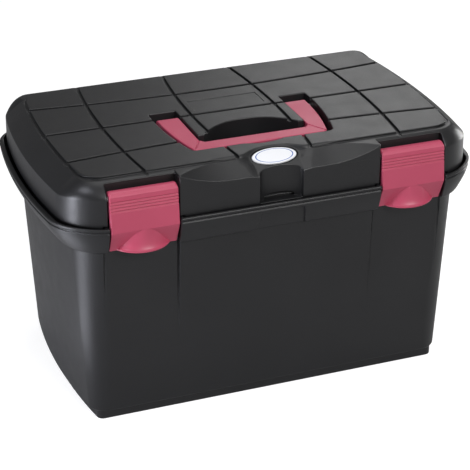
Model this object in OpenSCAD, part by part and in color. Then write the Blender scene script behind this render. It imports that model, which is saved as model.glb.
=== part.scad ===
// Horse grooming box: a drafted plastic tub with a flared collar, a hinged lid with a
// folding carry handle sunk in its top, two front latches and a lift-out tray inside.
// Millimetres. The origin is on the ground under the middle of the tub, the front faces -Y.

/* [Tub] */
// Length of the tub at the bottom of its wall
base_len = 348; // [332:1:358]
// Depth of the tub at the bottom of its wall
base_dep = 196; // [184:1:208]
// Length of the tub just under the collar
wall_len = 366; // [358:1:370]
// Depth of the tub just under the collar
wall_dep = 220; // [216:1:223]
// Height of the wall, ground to the lower edge of the collar
wall_h = 170; // [150:1:200]
// Thickness of the tub's walls
tub_wall = 3; // [2:0.1:3.6]
// Thickness of the tub's floor
floor_t = 3.2; // [2:0.1:6]
// Height of the set-in foot round the bottom
foot_h = 8; // [5:0.5:14]
// How far the foot is set in from the wall at front and back
foot_in = 2.5; // [1:0.5:6]
// How far the foot is set in from the wall at the two ends
foot_end_in = 9; // [2:0.5:14]
// Radius of the upright corners at the bottom of the wall
base_corner_r = 18; // [14:0.5:24]
// Radius of the upright corners just under the collar
wall_corner_r = 27; // [20:0.5:36]
// Radius of the foot's corners
foot_corner_r = 9.5; // [6:0.5:14]
// Radius of the bow of the tub's ends, seen from above
tub_bow_r = 540; // [400:10:900]
// Depth of the sunk panels under the latches, at their top
panel_d = 2.4; // [1:0.1:3]
// Width of the sunk panels
panel_w = 66; // [63:0.5:70]
// Height above the ground at which the sunk panels run out
panel_low = 72; // [30:1:100]

/* [Collar] */
// Length over the lip of the collar
lip_len = 400; // [396:1:412]
// Depth over the lip of the collar
lip_dep = 244; // [241:1:250]
// Radius of the bow of the ends of lip and lid, seen from above
end_bow_r = 580; // [450:10:1000]
// Radius of the lip's front corners, seen from above
lip_corner_r = 44; // [38:1:50]
// Radius of the lip's back corners, seen from above
lip_back_corner_r = 33; // [28:1:36]
// Height of the collar, lower edge to lip
collar_h = 25; // [22:0.5:28]
// How far the collar's lower edge stands out from the wall
collar_out = 5.6; // [5:0.1:7]
// Thickness of the lip
lip_t = 3; // [2:0.1:3.6]
// Width of the notch in the middle of the front of the collar
notch_w = 39.6; // [20:0.2:60]
// Depth of that notch at the foot of the rim band
notch_d = 1.7; // [0.8:0.1:2]
// Height of the rim band left above the notch
rim_band = 8; // [5:0.5:12]

/* [Lid] */
// Height of the lid's flat top above the lip
lid_rise = 38.5; // [34:0.5:46]
// Thickness of the lid's walls and top
lid_wall = 3; // [2:0.1:3.6]
// Gap between the lid and the lip at the two ends
end_gap = 4; // [2.5:0.1:6]
// Gap between the lid and the lip at the front and the back
side_gap = 2; // [1.5:0.1:3]
// Gap between the lid's skirt and the ledge that it sits over
seat_gap = 0.5; // [0.3:0.1:1]
// Gap between the foot of the skirt and the collar beside it
skirt_gap = 2.5; // [1.5:0.1:3]
// How far the lid's upright ends lean in up to their slope
end_draft = 0.5; // [0.2:0.1:2]
// How far the slopes at the two ends run in over the top
end_run = 19.5; // [14:0.5:24]
// Height of the slopes at the two ends
end_h = 15.7; // [10:0.1:20]
// Fullness of the slopes at the two ends, from 1 for flat to 2 for round
end_power = 1.1; // [1:0.1:2]
// How far the sloped edges at front and back run in over the top
slope_run = 17; // [12:0.5:20]
// Height of the sloped edges
slope_h = 14; // [9:0.5:18]
// Fullness of the sloped edges, from 1 for flat to 2 for round
edge_power = 1.3; // [1:0.1:2]
// Radius of the upright front corners of the lid
lid_corner_r = 36; // [32:1:40]
// Radius of the upright back corners of the lid
lid_back_corner_r = 27; // [24:0.5:28]
// Height of the raised field on the top, and depth of the grooves that part it
groove_d = 1.7; // [0.6:0.1:1.8]
// Width of the grooves in the top
groove_w = 2; // [1:0.1:3]
// Distance from the middle of the two outer long grooves
groove_outer_x = 121.8; // [110:0.2:135]
// Distance from the middle of the two inner long grooves
groove_inner_x = 39.4; // [30:0.2:46]
// Distance from the middle of the two bowed cross grooves
groove_row_y = 51.2; // [40:0.2:62]
// Radius of the bowed cross grooves
groove_row_r = 1450; // [900:50:2500]
// Radius of the bow of the long grooves and of the raised field's ends
groove_bow_r = 780; // [600:10:1200]
// How far the raised field stays inside the slopes at the two ends
border_end_in = 0.7; // [0.3:0.1:3]
// How far the raised field stays inside the slopes at front and back
border_in = 1.2; // [0.8:0.1:3]
// Radius of the corners of the raised field
border_corner_r = 15; // [8:0.5:18]
// Slope of the facets beside the finger scoop, rise over run
facet_slope = 0.64; // [0.4:0.02:0.8]
// How far the facets run in over the top beside the scoop
facet_in = 17.3; // [12:0.1:18]
// Distance from the middle at which the facets begin to run out
facet_x = 40; // [24:1:60]
// Radius over which the facets run out, seen from above
facet_r = 85; // [80:1:200]
// Width of the finger scoop in the front of the lid
scoop_w = 39; // [24:0.5:52]
// Depth of the finger scoop at its middle
scoop_d = 6.2; // [3:0.2:7]

/* [Lid hinges] */
// Distance of each hinge from the middle
hinge_x = 105; // [60:1:120]
// How far the hinge axis lies behind the lip
hinge_back = 5; // [4.5:0.1:8]
// Height of the hinge axis above the lip
hinge_up = 4; // [3:0.1:6]
// Radius of the hinge knuckles
knuckle_r = 5; // [4:0.1:5.4]
// Width of the tub's middle knuckle
knuckle_mid_w = 22; // [14:1:34]
// Width of each of the lid's two outer knuckles
knuckle_side_w = 12; // [8:1:20]
// Gap between neighbouring knuckles
knuckle_gap = 0.5; // [0.3:0.1:1]
// Diameter of the hinge pins
hinge_pin_d = 4; // [3:0.1:5]

/* [Latches] */
// Distance of each latch from the middle
latch_x = 121.8; // [112:0.2:128]
// Width of the latches
latch_w = 59.2; // [50:0.2:64]
// Distance of the top of the latch pockets under the lid's top
pocket_down = 3.9; // [2.5:0.1:6]
// How far the latch pockets go in behind the tub's wall
pocket_in = 0.6; // [0.3:0.1:0.8]
// Gap at each side of a latch in its pocket
latch_gap = 1.1; // [0.6:0.1:2]
// Radius of the barrel at the top of a latch
barrel_r = 6.4; // [5:0.1:7]
// Gap round the barrel
barrel_gap = 0.7; // [0.5:0.1:1.2]
// How far the pivot lies under the lid's top
pivot_down = 14.9; // [14:0.1:17]
// How far the pivot lies behind the lip's front
pivot_in = 10.5; // [9.5:0.1:11]
// Diameter of the latch pins
latch_pin_d = 4; // [3:0.1:5]
// How far the bend in a latch lies under the lip
bend_down = 4.5; // [3:0.1:7]
// How far the bend stays behind the lip's front
bend_in = 1.3; // [0.5:0.1:2]
// Thickness of the latch plate
plate_t = 4.4; // [3:0.1:5]
// How far the latch's lower edge lies above the collar's lower edge
tip_up = 1; // [0:0.1:3]
// Height of the hook at the foot of a latch
hook_h = 7; // [5:0.1:9]
// Gap between the hook and the tub
hook_gap = 0.8; // [0.5:0.1:1.2]
// How far the catch on the tub stands out of its pocket
catch_out = 3.1; // [2:0.1:3.6]
// Height of the catch
catch_h = 5; // [3:0.1:7]
// Radius of the round finger tab at the foot of a latch
tab_r = 27.6; // [24:0.2:29]
// How far the tab reaches in front of the lip
tab_out = 3; // [1:0.1:5]
// Thickness of the tab's rim
tab_t = 1.6; // [1:0.1:2.5]
// Number of grooves across a latch
latch_grooves = 4; // [0:1:6]
// Distance from one latch groove to the next
latch_groove_pitch = 2.6; // [2:0.1:3.2]
// Width and depth of a latch groove
latch_groove_w = 0.8; // [0.4:0.1:1.2]

/* [Carry handle] */
// Width over the two legs
handle_w = 141; // [130:0.5:150]
// Width of a leg
leg_w = 20; // [16:0.5:24]
// Thickness of the handle
handle_t = 12; // [9:0.2:14]
// How far the folded handle lies under the lid's top
handle_drop = 2; // [1:0.1:4]
// Distance of the handle's pivot behind the middle of the lid
handle_pivot_y = 1; // [-10:0.5:10]
// Distance from the pivot to the front of the grip
handle_reach = 72; // [62:0.5:76]
// Width of the grip bar
grip_w = 19; // [14:0.5:26]
// Radius of the arched outer sides of the legs, seen from above
leg_side_r = 280; // [200:10:600]
// Radius of the front corners of the handle
handle_corner_r = 4; // [2:0.5:12]
// Gap between the handle and its slot
slot_gap = 4.5; // [2:0.1:6]
// Radius of the front corners of the slot
slot_corner_r = 4; // [2:0.5:16]
// Width of the scallop in the front edge of the slot
scallop_w = 36; // [24:0.5:50]
// Depth of that scallop
scallop_d = 4; // [2:0.1:5]
// Gap under the handle
slot_under = 2.5; // [1:0.1:5]
// Gap between the handle's legs and the middle of the lid
slot_inner_gap = 1; // [0.5:0.1:3]
// Gap between the back of the grip and the middle of the lid
grip_gap = 6; // [1.2:0.1:8]
// Thickness of the floor under the handle's slot
slot_floor = 2.5; // [2:0.1:4]
// Depth of the finger well
well_d = 30; // [24:0.5:33]
// Radius of the back of the finger well, seen from above
well_r = 54; // [50:1:64]
// Distance from the pivot to the back of the finger well
well_back = 24.4; // [20:0.2:34]
// Diameter of the handle pins
handle_pin_d = 4; // [3:0.1:5]
// How far the handle pins reach into the lid on each side
handle_pin_in = 3; // [2:0.1:4]

/* [Badge] */
// Length of the oval badge
badge_len = 40; // [30:0.5:46]
// Height of the oval badge
badge_h = 17.5; // [12:0.5:20]
// Thickness of the badge
badge_t = 2; // [1:0.1:3]
// Depth of the seat in which the badge lies
badge_seat = 1.2; // [0.4:0.1:2]
// Slope of the badge
badge_tilt = 26; // [20:1:32]
// Distance of the badge's middle from the front of the lid
badge_in = 18.3; // [17:0.1:21]
// Distance of the badge's middle under the lid's top
badge_down = 5; // [3.6:0.1:6]
// Width of the flat surround of the badge, from which a tongue runs down to the scoop
badge_rim = 3; // [1:0.5:4]

/* [Tray] */
// Height of the tray
tray_h = 55; // [35:1:58]
// Thickness of the tray's walls
tray_wall = 2.2; // [1.6:0.1:3]
// Gap between the tray's rim and the tub at the two ends
tray_gap = 6; // [4:0.1:10]
// Gap between the tray's rim and the tub at front and back
tray_side_gap = 7; // [6:0.1:9]
// Distance of the tray's rim under the lid's skirt
tray_down = 8; // [4:0.5:20]
// Width of the rim round the tray
tray_rim = 4; // [2.5:0.1:5]
// Width of the ribs in the tub that carry the tray
rib_w = 6; // [4:0.5:10]
// How far those ribs reach under the tray
rib_under = 6; // [4:0.5:10]
// Distance of the dividers from the middle
divider_x = 58; // [30:1:90]
// Thickness of the dividers
divider_t = 2; // [1.5:0.1:3]
// Height of the dividers
divider_h = 44; // [25:1:48]
// Gap round a divider in its grooves
divider_gap = 0.25; // [0.15:0.05:0.5]
// Width of the guides that hold a divider
guide_w = 3; // [2:0.1:5]
// How far the guides stand out of the tray's wall
guide_out = 4; // [3:0.1:6]

/* [Fits] */
// Running gap of a pin in its bore, on the radius
pin_gap = 0.05; // [0.02:0.01:0.1]

/* [Hidden] */
$fn = 64;

black_plastic = [0.16, 0.16, 0.17];
pink_plastic = [0.80, 0.33, 0.44];
grey_plastic = [0.42, 0.43, 0.45];
steel = [0.75, 0.76, 0.78];
white_plastic = [0.94, 0.95, 0.96];

// A length that reaches past every face that a cut has to clear
far = lip_len;
// The overlap by which one cut runs past another
skin = lip_t / 5;
// Steps in which the rounded faces and outlines are drawn
bow_steps = 4;
corner_steps = 6;
flare_steps = 5;
edge_steps = 4;
facet_steps = 12;
tab_steps = 6;
turn_steps = 6;
arch_steps = 16;
badge_steps = 48;
fine_arc = 360;

base_hl = base_len / 2;
base_hd = base_dep / 2;
wall_hl = wall_len / 2;
wall_hd = wall_dep / 2;
lip_hl = lip_len / 2;
lip_hd = lip_dep / 2;
lip_z = wall_h + collar_h;
ledge_z = wall_h + tub_wall;

lid_hl = lip_hl - lip_t - end_gap;
lid_hd = lip_hd - lip_t - side_gap;
lid_top = lip_z + lid_rise;
skirt_z = ledge_z + seat_gap;
skirt_hl = wall_hl + collar_out - tub_wall - skirt_gap;
skirt_hd = wall_hd + collar_out - tub_wall - skirt_gap;
top_hl = lid_hl - end_draft - end_run;
top_hd = lid_hd - slope_run;
border_hl = top_hl - border_end_in;
border_hd = top_hd - border_in;
field_low = lid_top - groove_d;

hinge_y = lip_hd + hinge_back;
hinge_z = lip_z + hinge_up;
hinge_pin_len = knuckle_mid_w + 2 * (knuckle_gap + knuckle_side_w);

pivot_y = -(lip_hd - pivot_in);
pivot_z = lid_top - pivot_down;
bend_y = -(lip_hd - bend_in);
bend_z = lip_z - bend_down;
tip_z = wall_h + tip_up;
hook_z = tip_z + hook_h;
pocket_w = latch_w + 2 * latch_gap;
pocket_back = wall_hd - pocket_in;
hook_y = -(pocket_back + hook_gap);
lid_pocket_back = -pivot_y - barrel_r - barrel_gap;
pocket_top = lid_top - pocket_down;
latch_pin_len = pocket_w + 2 * lid_wall;
tab_axis_y = -(lip_hd + tab_out) + tab_r;

handle_hw = handle_w / 2;
leg_inner = handle_hw - leg_w;
handle_top = lid_top - handle_drop;
handle_low = handle_top - handle_t;
handle_pivot_z = handle_top - handle_t / 2;
handle_front = handle_pivot_y - handle_reach;
grip_back = handle_front + grip_w;
leg_end = handle_pivot_y + handle_t / 2;
slot_hw = handle_hw + slot_gap;
slot_inner = leg_inner - slot_inner_gap;
slot_front = handle_front - slot_gap;
slot_back = leg_end + slot_gap + slot_under;
slot_low = handle_low - slot_under;
scallop_r = (pow(scallop_w / 2, 2) + pow(scallop_d, 2)) / (2 * scallop_d);
well_axis_y = handle_pivot_y - well_back - well_r;
well_low = lid_top - well_d;
handle_pin_len = slot_hw - slot_inner + 2 * handle_pin_in;

scoop_r = (pow(scoop_w / 2, 2) + pow(scoop_d, 2)) / (2 * scoop_d);
scoop_axis_y = -lid_hd + scoop_d - scoop_r;
badge_y = -(lid_hd - badge_in);
badge_z = lid_top - badge_down;

tray_top = skirt_z - tray_down;
tray_low = tray_top - tray_h;
rib_top = tray_low - seat_gap;
divider_low = tray_low + tray_wall + divider_gap;

function mix(a, b, t) = a + (b - a) * t;

// Share of the way from the foot to the collar at a height
function wall_share(z) = (z - foot_h) / (wall_h - foot_h);

// Half length, half depth and corner radius of the tub's outer wall at a height
function wall_hl_at(z) = mix(base_hl, wall_hl, wall_share(z));
function wall_hd_at(z) = mix(base_hd, wall_hd, wall_share(z));
function corner_r_at(z) = mix(base_corner_r, wall_corner_r, wall_share(z));

// One quarter of a plan outline: the bowed end, then the round corner
function quarter_outline(half_len, half_dep, corner, bow) =
    let (
        bow_x = half_len - bow,
        corner_y = half_dep - corner,
        corner_x = bow_x + sqrt(pow(bow - corner, 2) - pow(corner_y, 2)),
        turn = asin(corner_y / (bow - corner))
    )
    concat(
        [for (i = [0 : bow_steps]) let (a = turn * i / bow_steps)
            [bow_x + bow * cos(a), bow * sin(a)]],
        [for (i = [1 : corner_steps]) let (a = mix(turn, 90, i / corner_steps))
            [corner_x + corner * cos(a), corner_y + corner * sin(a)]]
    );

// Plan outline with straight long sides, bowed ends, and round corners in front and at the back
function outline(half_len, half_dep, front_corner, back_corner, bow) =
    let (
        f = quarter_outline(half_len, half_dep, front_corner, bow),
        b = quarter_outline(half_len, half_dep, back_corner, bow),
        last = len(f) - 1
    )
    concat(
        b,
        [for (i = [last : -1 : 0]) [-b[i][0], b[i][1]]],
        [for (i = [1 : last]) [-f[i][0], -f[i][1]]],
        [for (i = [last : -1 : 1]) [f[i][0], -f[i][1]]]
    );

// Each level of a loft is [height, half length, half depth, front corner, back corner, bow]
function inset(level, t, dz = 0) =
    [level[0] + dz, for (i = [1 : 5]) level[i] - t];

// Closed solid through a row of rings of points
module stack(rings) {
    n = len(rings[0]);
    last_ring = n * (len(rings) - 1);
    first_face = [for (i = [0 : n - 1]) i];
    last_face = [for (i = [n - 1 : -1 : 0]) last_ring + i];
    side_faces = [for (k = [0 : len(rings) - 2]) for (i = [0 : n - 1])
        let (a = k * n + i, b = k * n + (i + 1) % n) each [[a, a + n, b], [b, a + n, b + n]]];
    polyhedron([for (r = rings) each r], concat([first_face], side_faces, [last_face]));
}

// Closed solid through the plan outlines of its levels, from the bottom up
module loft(levels) {
    stack([for (l = levels) [for (p = outline(l[1], l[2], l[3], l[4], l[5])) [p[0], p[1], l[0]]]]);
}

// A shape drawn in Y and Z, drawn out along X from one place
module along_x(from, length) {
    translate([from, 0, 0]) rotate([90, 0, 90]) linear_extrude(length) children();
}

// A round bar along X
module bar_x(mid_x, y, z, length, r) {
    translate([mid_x - length / 2, y, z]) rotate([0, 90, 0]) cylinder(h = length, r = r);
}

// A block from one corner to the other
module block(low, high) {
    translate(low) cube(high - low);
}

// Levels of the flared collar, lower edge to lip, set in by a thickness
function collar_level(t, in, low) = [
    mix(low, lip_z, t),
    mix(wall_hl + collar_out, lip_hl, sin(90 * t)) - in,
    mix(wall_hd + collar_out, lip_hd, sin(90 * t)) - in,
    mix(wall_corner_r + collar_out, lip_corner_r, sin(90 * t)) - in,
    mix(wall_corner_r + collar_out, lip_back_corner_r, sin(90 * t)) - in,
    mix(tub_bow_r, end_bow_r, sin(90 * t)) - in
];

foot_level = [0, base_hl - foot_end_in, base_hd - foot_in, foot_corner_r, foot_corner_r, tub_bow_r];
tub_wall_levels = [
    [foot_h, base_hl, base_hd, base_corner_r, base_corner_r, tub_bow_r],
    [wall_h, wall_hl, wall_hd, wall_corner_r, wall_corner_r, tub_bow_r]
];

module tub_outer() {
    loft(concat(
        [foot_level, inset(foot_level, 0, foot_h)],
        tub_wall_levels,
        [for (i = [0 : flare_steps]) collar_level(i / flare_steps, 0, wall_h)]
    ));
}

module tub_cavity() {
    loft(concat(
        [inset(foot_level, tub_wall, floor_t), inset(foot_level, tub_wall, foot_h + floor_t)],
        [inset(tub_wall_levels[0], tub_wall, floor_t), inset(tub_wall_levels[1], tub_wall, tub_wall)],
        [for (i = [0 : flare_steps]) collar_level(i / flare_steps, lip_t, ledge_z)],
        [inset(collar_level(1, lip_t, ledge_z), 0, skin)]
    ));
}

// Upright ribs in the tub whose tops carry the tray
module tray_ribs() {
    end_reach = tray_level(tray_low, tray_rim)[1] - rib_under;
    side_reach = tray_level(tray_low, tray_rim)[2] - rib_under;
    for (side = [-1, 1]) {
        for (y = [-base_hd / 2, base_hd / 2 - rib_w]) {
            translate([side * (end_reach + far / 2) - far / 2, y, 0]) cube([far, rib_w, rib_top]);
        }
        for (x = [-base_hl / 2, base_hl / 2 - rib_w]) {
            translate([x, side * (side_reach + far / 2) - far / 2, 0]) cube([rib_w, far, rib_top]);
        }
    }
}

// Room for a latch in the front of the tub, with a wall kept round it
module tub_pocket(mid_x, wall) {
    half = pocket_w / 2 + wall;
    block([mid_x - half, -far, wall_h - wall], [mid_x + half, -pocket_back + wall, lip_z + skin]);
}

// Sunk panel under a latch that runs out down the drafted wall, made larger by a wall
module sunk_panel(mid_x, wall) {
    low_y = -wall_hd_at(panel_low) + wall;
    along_x(mid_x - panel_w / 2 - wall, panel_w + 2 * wall)
        polygon([[low_y, panel_low], [-wall_hd + panel_d + wall, wall_h + skin],
            [-far, wall_h + skin], [-far, panel_low]]);
}

// Catch over which the hook of a latch closes
module latch_catch(mid_x) {
    low = hook_z + hook_gap;
    block([mid_x - pocket_w / 2 - skin, -pocket_back - catch_out, low],
        [mid_x + pocket_w / 2 + skin, -pocket_back + skin, low + catch_h]);
}

// Lug behind the collar that carries a hinge pin
module tub_knuckle(mid_x) {
    foot_y = lip_hd - lip_t / 2;
    bar_x(mid_x, hinge_y, hinge_z, knuckle_mid_w, knuckle_r);
    along_x(mid_x - knuckle_mid_w / 2, knuckle_mid_w)
        polygon([[foot_y, wall_h + collar_h / 2], [hinge_y + knuckle_r, hinge_z - knuckle_r],
            [hinge_y + knuckle_r, hinge_z], [hinge_y - knuckle_r, hinge_z], [foot_y, lip_z]]);
}

module tub() {
    color(black_plastic)
    difference() {
        union() {
            difference() {
                tub_outer();
                difference() {
                    tub_cavity();
                    tray_ribs();
                    for (side = [-1, 1]) tub_pocket(side * latch_x, tub_wall);
                    for (side = [-1, 1]) sunk_panel(side * latch_x, tub_wall);
                }
                for (side = [-1, 1]) tub_pocket(side * latch_x, 0);
                for (side = [-1, 1]) sunk_panel(side * latch_x, 0);
                block([-notch_w / 2, -far, wall_h - skin],
                    [notch_w / 2, -lip_hd + notch_d, lip_z - rim_band]);
            }
            for (side = [-1, 1]) latch_catch(side * latch_x);
            for (side = [-1, 1]) tub_knuckle(side * hinge_x);
        }
        for (side = [-1, 1])
            bar_x(side * hinge_x, hinge_y, hinge_z, knuckle_mid_w + skin, hinge_pin_d / 2 + pin_gap);
    }
}

// Heights under the lid's top at which the slopes of the ends and of the long sides begin
edge_low = max(end_h, slope_h);
edge_high = min(end_h, slope_h);

// Heights under the lid's top at which its edge is drawn, closer together towards the top
edge_drops = concat(
    edge_low > edge_high ? [edge_low] : [],
    [for (i = [0 : edge_steps]) edge_high * pow(1 - i / edge_steps, 2)]
);

// Smallest corner that still leaves a round one inside the lid's wall
least_corner_r = 2 * lid_wall;

// How far a slope has come in at a drop under the lid's top
function come_in(drop, run, height, power) =
    run * (1 - pow(1 - pow(max(0, 1 - drop / height), power), 1 / power));

// Level of the lid's sloped edge
function edge_level(drop) =
    let (side_in = come_in(drop, slope_run, slope_h, edge_power))
    [
        lid_top - drop,
        lid_hl - end_draft - come_in(drop, end_run, end_h, end_power),
        lid_hd - side_in,
        max(least_corner_r, lid_corner_r - side_in),
        max(least_corner_r, lid_back_corner_r - side_in),
        end_bow_r
    ];

lid_levels = concat(
    [[skirt_z, skirt_hl, skirt_hd, wall_corner_r, wall_corner_r, tub_bow_r]],
    [[lip_z, lid_hl, lid_hd, lid_corner_r, lid_back_corner_r, end_bow_r]],
    [for (d = edge_drops) edge_level(d)]
);

module lid_outer() {
    loft(lid_levels);
}

module lid_cavity() {
    loft(concat(
        [inset(lid_levels[0], lid_wall, -skin)],
        [for (i = [1 : len(lid_levels) - 2]) inset(lid_levels[i], lid_wall)],
        [inset(lid_levels[len(lid_levels) - 1], lid_wall, -lid_wall)]
    ));
}

// How far the facets run in over the top, at a distance from the middle
function facet_run(x) =
    max(skin, facet_in - facet_r + sqrt(pow(facet_r, 2) - pow(max(0, abs(x) - facet_x), 2)));

// Section of the lid's front between the latch pockets, with a facet at its top, set in by a wall
function front_section(x, in) =
    let (
        run = facet_run(x),
        drop = in * norm([1, facet_slope]),
        front_y = in - lid_hd,
        back_y = facet_in + lid_wall - lid_hd,
        edge_y = max(front_y + skin, run + (drop - in) / facet_slope - lid_hd),
        edge_z = min(field_low - in - skin / 2, field_low + facet_slope * (in - run) - drop)
    )
    [
        [x, front_y, lip_z], [x, back_y, lip_z], [x, back_y, field_low - in],
        [x, edge_y, field_low - in], [x, front_y, edge_z]
    ];

// The lid's front between the latch pockets, which stands up past the sloped edge
module front_rise(in) {
    half = latch_x - pocket_w / 2 - in;
    stack([for (i = [-facet_steps : facet_steps]) front_section(half * i / facet_steps, in)]);
}

// Plan with arched sides, square corners at the back and round ones at the front
module round_front(half, front, back, r) {
    side = [for (i = [0 : arch_steps]) let (y = back + (front + r - back) * i / arch_steps)
        [half - leg_side_r + sqrt(pow(leg_side_r, 2) - pow(y - handle_pivot_y, 2)), y]];
    turn_x = side[arch_steps][0] - r;
    arc = [for (i = [1 : turn_steps]) let (a = 90 * i / turn_steps)
        [turn_x + r * cos(a), front + r - r * sin(a)]];
    half_plan = concat(side, arc);
    polygon(concat(
        half_plan,
        [for (i = [len(half_plan) - 1 : -1 : 0]) [-half_plan[i][0], half_plan[i][1]]]
    ));
}

// Plan of the U-shaped slot, made larger by a wall
module slot_plan(wall) {
    difference() {
        round_front(slot_hw + wall, slot_front - wall, slot_back + wall, slot_corner_r);
        translate([-slot_inner + wall, grip_back + grip_gap + wall])
            square([2 * (slot_inner - wall), far]);
    }
    intersection() {
        translate([0, slot_front - scallop_d + scallop_r]) circle(r = scallop_r + wall);
        translate([-far / 2, slot_front + skin - far]) square(far);
    }
}

// Plan of the round-backed finger well under the grip
module well_plan(wall) {
    intersection() {
        translate([0, well_axis_y]) circle(r = well_r + wall);
        translate([-slot_inner - wall, slot_front - wall])
            square([2 * (slot_inner + wall), handle_reach]);
    }
}

// Slot and finger well of the handle, made larger by a wall all round and below
module handle_recess(wall) {
    translate([0, 0, slot_low - wall]) linear_extrude(lid_top - slot_low + wall + skin) slot_plan(wall);
    translate([0, 0, well_low - wall]) linear_extrude(lid_top - well_low + wall + skin) well_plan(wall);
}

// Bosses in the lid round the ends of the handle pins
module handle_bosses() {
    reach = handle_pin_in + lid_wall;
    for (side = [-1, 1]) for (x = [slot_inner - reach / 2, slot_hw + reach / 2])
        block([side * x - reach / 2, handle_pivot_y - handle_t / 2, slot_low - slot_floor],
            [side * x + reach / 2, handle_pivot_y + handle_t / 2, lid_top - skin]);
}

// Pocket of a latch in the lid, wider under the lip to clear the walls of the tub's pocket
module lid_pocket(mid_x, wall) {
    half = pocket_w / 2 + wall;
    low_half = pocket_w / 2 + tub_wall + latch_gap + wall;
    block([mid_x - half, -far, skirt_z - skin],
        [mid_x + half, -lid_pocket_back + wall, pocket_top + wall]);
    block([mid_x - low_half, -far, skirt_z - skin],
        [mid_x + low_half, -lid_pocket_back + wall, lip_z + latch_gap + wall]);
}

// Upright round hollow for a finger in the front of the lid
module scoop(wall) {
    translate([0, scoop_axis_y, lip_z]) cylinder(h = lid_rise + skin, r = scoop_r + wall);
}

// Oval of the badge, made larger by a margin
module badge_plan(margin) {
    polygon([for (i = [0 : badge_steps - 1]) let (a = 360 * i / badge_steps)
        [(badge_len / 2 + margin) * cos(a), (badge_h / 2 + margin) * sin(a)]]);
}

module at_badge() {
    translate([0, badge_y, badge_z]) rotate([badge_tilt, 0, 0]) children();
}

// Flat surround of the badge and the tongue from it to the scoop, made larger by a wall
module badge_tongue(wall) {
    at_badge() translate([0, 0, -wall]) linear_extrude(far) {
        badge_plan(badge_rim + wall);
        translate([-scoop_w / 2 - wall, -far]) square([scoop_w + 2 * wall, far]);
    }
}

// Groove along an arc that crosses the top from front to back
module arc_groove(x) {
    translate([x - groove_bow_r, 0]) difference() {
        circle(r = groove_bow_r + groove_w / 2, $fn = fine_arc);
        circle(r = groove_bow_r - groove_w / 2, $fn = fine_arc);
    }
}

// Groove along an arc that crosses the top from end to end
module row_groove() {
    translate([0, groove_row_y + groove_row_r]) difference() {
        circle(r = groove_row_r + groove_w / 2, $fn = fine_arc);
        circle(r = groove_row_r - groove_w / 2, $fn = fine_arc);
    }
}

// Plan of what is cut from the top: the ledge round the raised field, and the grooves in the field
module groove_plan() {
    difference() {
        square(2 * far, center = true);
        polygon(outline(border_hl, border_hd, border_corner_r, border_corner_r, groove_bow_r));
    }
    for (turn = [0, 180]) rotate(turn) {
        arc_groove(groove_outer_x);
        arc_groove(groove_inner_x);
        row_groove();
    }
    square([2 * lid_hl, groove_w], center = true);
}

// The two knuckles of one hinge on the lid, on arms that reach back over the lip
module lid_knuckles(mid_x) {
    shift = (knuckle_mid_w + knuckle_side_w) / 2 + knuckle_gap;
    for (side = [-1, 1]) {
        x = mid_x + side * shift;
        bar_x(x, hinge_y, hinge_z, knuckle_side_w, knuckle_r);
        block([x - knuckle_side_w / 2, lid_hd - lid_wall / 2, lip_z + seat_gap],
            [x + knuckle_side_w / 2, hinge_y, hinge_z + knuckle_r]);
    }
}

module lid() {
    color(black_plastic)
    difference() {
        union() {
            difference() {
                union() {
                    lid_outer();
                    front_rise(0);
                }
                difference() {
                    union() {
                        lid_cavity();
                        front_rise(lid_wall);
                    }
                    handle_recess(slot_floor);
                    handle_bosses();
                    for (side = [-1, 1]) lid_pocket(side * latch_x, lid_wall);
                    scoop(lid_wall);
                    badge_tongue(lid_wall);
                    at_badge() translate([0, 0, -badge_seat - lid_wall])
                        linear_extrude(far) badge_plan(lid_wall);
                }
                handle_recess(0);
                for (side = [-1, 1]) lid_pocket(side * latch_x, 0);
                scoop(0);
                badge_tongue(0);
                at_badge() translate([0, 0, -badge_seat]) linear_extrude(far) badge_plan(pin_gap);
                translate([0, 0, field_low]) linear_extrude(groove_d + skin) groove_plan();
            }
            for (side = [-1, 1]) lid_knuckles(side * hinge_x);
        }
        for (side = [-1, 1]) {
            bar_x(side * hinge_x, hinge_y, hinge_z, hinge_pin_len + skin, hinge_pin_d / 2 + pin_gap);
            bar_x(side * latch_x, pivot_y, pivot_z, latch_pin_len, latch_pin_d / 2 + pin_gap);
            bar_x(side * (slot_hw + slot_inner) / 2, handle_pivot_y, handle_pivot_z, handle_pin_len,
                handle_pin_d / 2 + pin_gap);
        }
    }
}

module hinge_pin(side) {
    color(steel) bar_x(side * hinge_x, hinge_y, hinge_z, hinge_pin_len, hinge_pin_d / 2);
}

module latch_pin(side) {
    color(steel) bar_x(side * latch_x, pivot_y, pivot_z, latch_pin_len, latch_pin_d / 2);
}

module handle_pin(side) {
    mid_x = side * (slot_hw + slot_inner) / 2;
    color(steel) bar_x(mid_x, handle_pivot_y, handle_pivot_z, handle_pin_len, handle_pin_d / 2);
}

plate_back_y = bend_y + plate_t;
hook_back_y = hook_y - catch_out - hook_gap / 2;

// Side view of the latch: barrel, plate, bend and hook
module latch_side() {
    translate([pivot_y, pivot_z]) circle(r = barrel_r);
    polygon([
        [pivot_y - barrel_r, pivot_z],
        [bend_y, bend_z],
        [hook_y - tab_t, tip_z],
        [hook_y, tip_z],
        [hook_y, hook_z],
        [hook_back_y, hook_z],
        [plate_back_y, bend_z],
        [pivot_y, pivot_z - barrel_r],
        [pivot_y, pivot_z]
    ]);
}

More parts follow.
